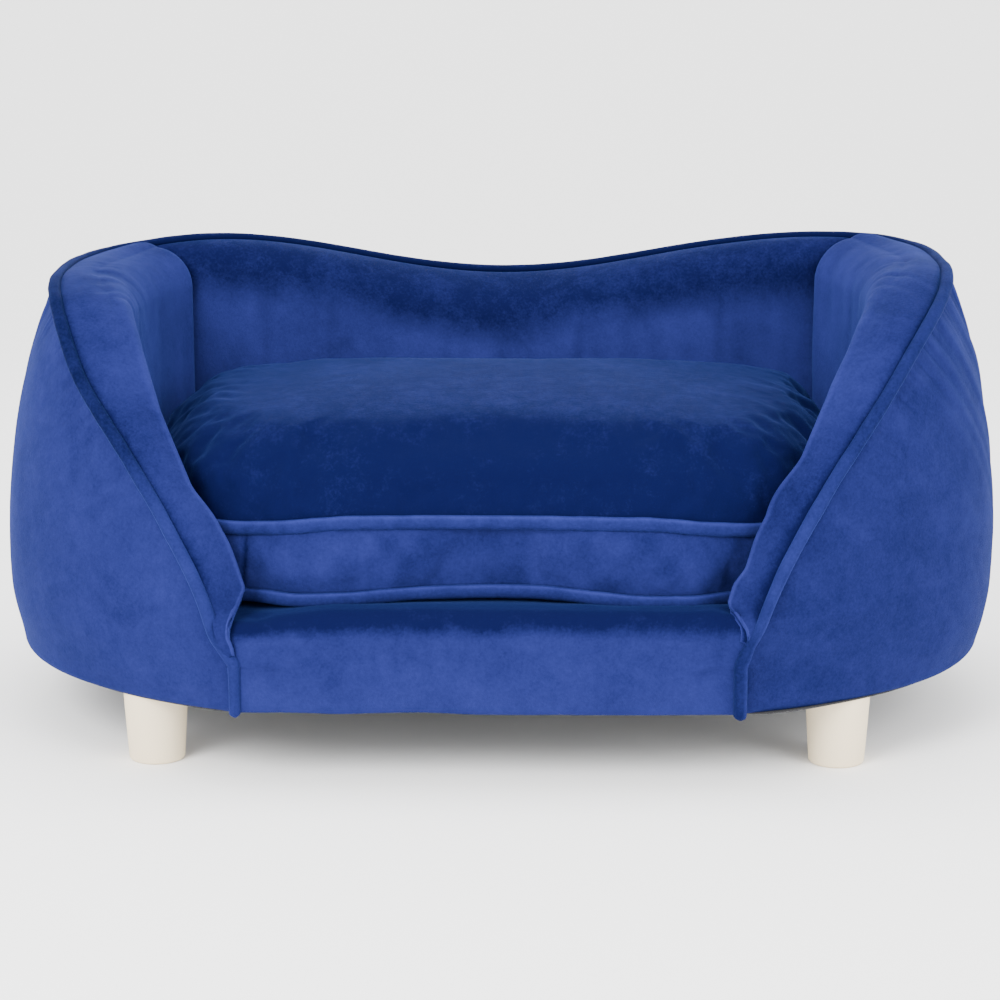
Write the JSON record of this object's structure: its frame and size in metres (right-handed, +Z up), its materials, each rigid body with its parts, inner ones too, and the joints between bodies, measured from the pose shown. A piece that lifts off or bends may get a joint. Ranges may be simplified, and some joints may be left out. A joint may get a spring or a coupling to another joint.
{
  "type": "dog sofa bed",
  "caption": "Small oval sofa bed for a dog: padded velvet tub with sloping arms and piped rim on short wooden feet, with a loose boxed cushion.",
  "frame": {"origin": "on the floor, under the middle of the sofa's width and depth", "axes": "+X across the sofa along its longest side, open front towards -Y, +Z up"},
  "size_m": [0.6898, 0.4298, 0.3099],
  "materials": {
    "velvet": "royal blue short-pile velvet",
    "cushion_velvet": "royal blue short-pile velvet",
    "piping": "royal blue velvet over a cord",
    "foam": "soft upholstery foam and wadding",
    "filling": "loose polyester fibre in a block",
    "frame_wood": "raw sawn pine and plywood",
    "hardboard": "raw hardboard",
    "foot_wood": "whitened wood, satin",
    "zinc": "zinc plated",
    "nonwoven": "black nonwoven cloth",
    "zip_tape": "woven polyester tape with a coil"
  },
  "bodies": {
    "sofa": {"deck_board": "frame_wood", "front_rail_board": "frame_wood", "back_rail_board": "frame_wood", "side_rail_left": "frame_wood", "side_rail_right": "frame_wood", "centre_rail": "frame_wood", "foot_blocks": "frame_wood", "t_nuts": "zinc", "hanger_bolts": "zinc", "foot_front_left": "foot_wood", "foot_front_right": "foot_wood", "foot_rear_left": "foot_wood", "foot_rear_right": "foot_wood", "wall_board_left": "hardboard", "wall_board_right": "hardboard", "wall_board_back": "hardboard", "outer_wadding_left": "foam", "outer_wadding_right": "foam", "outer_wadding_back": "foam", "arm_pad_left": "foam", "arm_pad_right": "foam", "back_pad": "foam", "rail_pad": "foam", "deck_pad": "foam", "outer_cover": "velvet", "arm_cover_left": "velvet", "arm_cover_right": "velvet", "back_cover": "velvet", "rail_cover": "velvet", "deck_cloth": "nonwoven", "dust_cover": "nonwoven", "rim_piping": "piping"},
    "cushion": {"cushion_core": "filling", "cushion_top_panel": "cushion_velvet", "cushion_boxing": "cushion_velvet", "cushion_bottom_panel": "cushion_velvet", "cushion_piping_top": "piping", "cushion_piping_bottom": "piping", "zip_tape": "zip_tape"},
    "zip_slider": {"zip_slider": "zinc"},
    "zip_pull": {"zip_pull": "zinc"}
  },
  "joints": [
    {"name": "cushion_lift", "type": "slide", "parent": "sofa", "child": "cushion", "axis": [0, 0, 1], "range_m": [0, 0.2]},
    {"name": "zip_slide", "type": "slide", "parent": "cushion", "child": "zip_slider", "axis": [-1, 0, 0], "range_m": [0, 0.2]},
    {"name": "zip_pull_swing", "type": "hinge", "parent": "zip_slider", "child": "zip_pull", "pos_m": [0.097, 0.11318, 0.1419], "axis": [0, 0, 1], "range_deg": [0, 180]}
  ]
}
